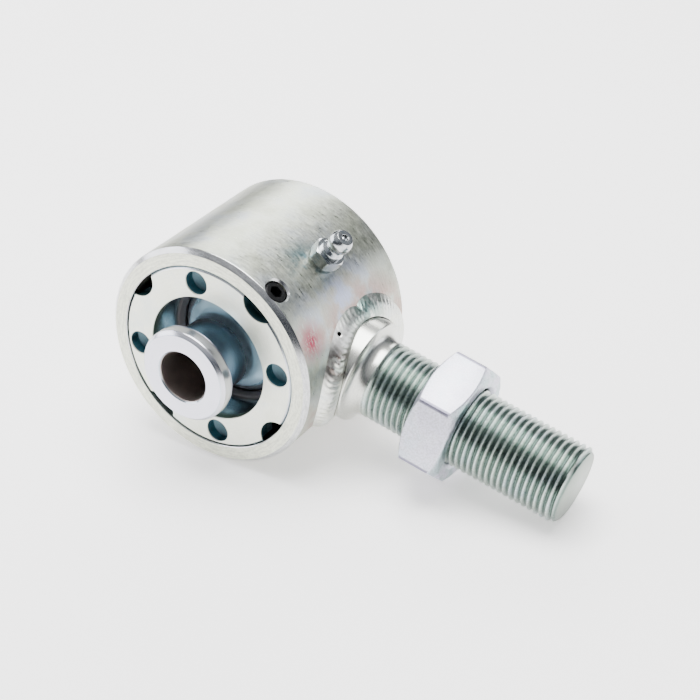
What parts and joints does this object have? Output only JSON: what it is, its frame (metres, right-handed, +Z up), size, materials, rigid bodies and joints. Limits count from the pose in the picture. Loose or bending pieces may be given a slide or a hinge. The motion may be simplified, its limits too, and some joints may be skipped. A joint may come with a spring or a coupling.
{
  "type": "tie rod end",
  "caption": "Rebuildable flex-joint rod end: cylindrical greasable housing with adjuster ring, captive through-bored ball, welded threaded stud and jam nut.",
  "frame": {"origin": "centre of the ball, where the stud's axis meets the bolt hole's axis", "axes": "+X along the stud towards its threaded end, Y along the ball's bolt hole with the adjuster ring facing -Y, +Z up, so the grease fitting and the set screw stand on the +X+Z side"},
  "size_m": [0.1299, 0.0764, 0.0708],
  "materials": {
    "housing_zinc": "clear zinc plated steel tube, turned and lightly satin",
    "stud_zinc": "clear zinc plated steel with rolled thread",
    "weld_zinc": "zinc plated weld metal with ripples",
    "ring_zinc": "matte clear zinc plated steel, machined",
    "screw_black": "black oxide alloy steel",
    "acetal_black": "machined black acetal",
    "washer_zinc": "stamped zinc plated steel",
    "spring_steel_black": "phosphated spring steel",
    "ball_steel": "turned and polished zinc plated steel",
    "nut_zinc": "satin clear zinc plated steel",
    "fitting_zinc": "bright zinc plated steel",
    "check_ball_steel": "polished steel",
    "spring_wire_steel": "drawn spring wire"
  },
  "bodies": {
    "housing": {"housing": "housing_zinc", "threaded_stud": "stud_zinc", "weld_bead": "weld_zinc", "adjuster_ring": "ring_zinc", "set_screw": "screw_black", "rear_washer": "washer_zinc", "snap_ring": "spring_steel_black", "grease_fitting": "fitting_zinc", "check_spring": "spring_wire_steel"},
    "races": {"front_race": "acetal_black", "rear_race": "acetal_black"},
    "ball": {"ball": "ball_steel"},
    "nut": {"jam_nut": "nut_zinc"},
    "check_valve": {"check_ball": "check_ball_steel"}
  },
  "joints": [
    {"name": "race_turn", "type": "hinge", "parent": "housing", "child": "races", "pos_m": [0, 0, 0], "axis": [0, 1, 0], "continuous": true},
    {"name": "ball_tilt", "type": "hinge", "parent": "races", "child": "ball", "pos_m": [0, 0, 0], "axis": [1, 0, 0], "range_deg": [-15, 15]},
    {"name": "nut_travel", "type": "slide", "parent": "housing", "child": "nut", "axis": [1, 0, 0], "range_m": [-0.013, 0.031]},
    {"name": "grease_check", "type": "slide", "parent": "housing", "child": "check_valve", "axis": [-0.4617, 0, -0.887], "range_m": [0, 0.0012], "stiffness_N_per_m": 200, "springref_m": -0.001, "deforming": ["check_spring"]}
  ]
}
